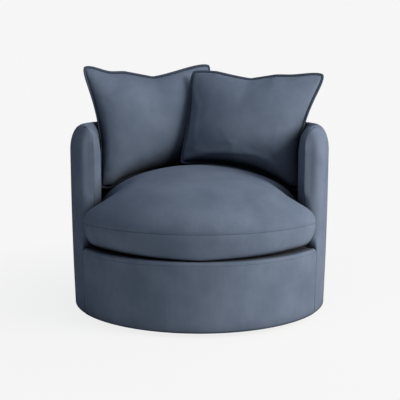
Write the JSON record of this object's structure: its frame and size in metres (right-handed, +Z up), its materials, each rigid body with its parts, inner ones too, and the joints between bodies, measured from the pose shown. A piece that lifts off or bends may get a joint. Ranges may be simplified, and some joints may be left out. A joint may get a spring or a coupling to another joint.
{
  "type": "swivel accent chair",
  "caption": "Round upholstered tub chair that swivels on a hidden turntable, with a domed loose seat cushion and loose scatter cushions.",
  "frame": {"origin": "on the floor, on the axis that the tub turns about, which is the middle of the underside of the bounding box", "axes": "+Z up along the swivel axis, -Y towards the front of the chair, +X to the right as seen from the front"},
  "size_m": [0.895, 0.9025, 0.8448],
  "materials": {
    "cloth": "slate blue plain-woven upholstery fabric",
    "piping": "self piping in the same fabric, darker in its fold",
    "lining": "black lining cloth",
    "foam": "upholstery foam with a fibre wrap",
    "plywood": "sanded birch plywood",
    "pine": "sawn pine",
    "hardboard": "smooth hardboard",
    "steel": "zinc plated",
    "brass": "plain",
    "felt": "pressed felt"
  },
  "bodies": {
    "base": {"glide_1": "felt", "glide_2": "felt", "glide_3": "felt", "glide_4": "felt", "base_board": "plywood", "lower_race": "steel"},
    "ball_cage": {"ball_cage": "brass"},
    "tub": {"upper_race": "steel", "beam_left": "pine", "beam_right": "pine", "bottom_ring": "plywood", "seat_ring": "plywood", "top_rail": "plywood", "drum_panel": "hardboard", "outer_panel": "hardboard", "inner_panel": "hardboard", "lower_post_1": "pine", "lower_post_2": "pine", "lower_post_3": "pine", "lower_post_4": "pine", "lower_post_5": "pine", "lower_post_6": "pine", "upper_post_1": "pine", "upper_post_2": "pine", "upper_post_3": "pine", "upper_post_4": "pine", "upper_post_5": "pine", "upper_post_6": "pine", "upper_post_7": "pine", "seat_spring_1": "steel", "seat_spring_2": "steel", "seat_spring_3": "steel", "seat_spring_4": "steel", "seat_spring_5": "steel", "front_clip_1": "steel", "front_clip_2": "steel", "front_clip_3": "steel", "front_clip_4": "steel", "front_clip_5": "steel", "back_clip_1": "steel", "back_clip_2": "steel", "back_clip_3": "steel", "back_clip_4": "steel", "back_clip_5": "steel", "deck_pad": "foam", "deck_cover": "lining", "dust_cover": "lining", "wall_foam": "foam", "band_foam": "foam", "outer_cover": "cloth", "inner_cover": "cloth", "band_cover": "cloth"},
    "seat_cushion": {"seat_cushion": "cloth"},
    "left_pillow": {"left_pillow": "cloth", "left_pillow_piping": "piping"},
    "right_pillow": {"right_pillow": "cloth", "right_pillow_piping": "piping"}
  },
  "joints": [
    {"name": "swivel", "type": "hinge", "parent": "base", "child": "tub", "pos_m": [0, 0, 0.0289], "axis": [0, 0, 1], "continuous": true},
    {"name": "cage_turn", "type": "hinge", "parent": "base", "child": "ball_cage", "pos_m": [0, 0, 0.0289], "axis": [0, 0, 1], "continuous": true},
    {"name": "seat_cushion_lift", "type": "slide", "parent": "tub", "child": "seat_cushion", "axis": [0, 0, 1], "range_m": [0, 0.45]},
    {"name": "left_pillow_lift", "type": "slide", "parent": "seat_cushion", "child": "left_pillow", "axis": [0, 0, 1], "range_m": [0, 0.3]},
    {"name": "right_pillow_lift", "type": "slide", "parent": "seat_cushion", "child": "right_pillow", "axis": [0, 0, 1], "range_m": [0, 0.3]}
  ],
  "couplings": [
    {"joint": "cage_turn", "follows": "swivel", "ratio": 0.5}
  ]
}
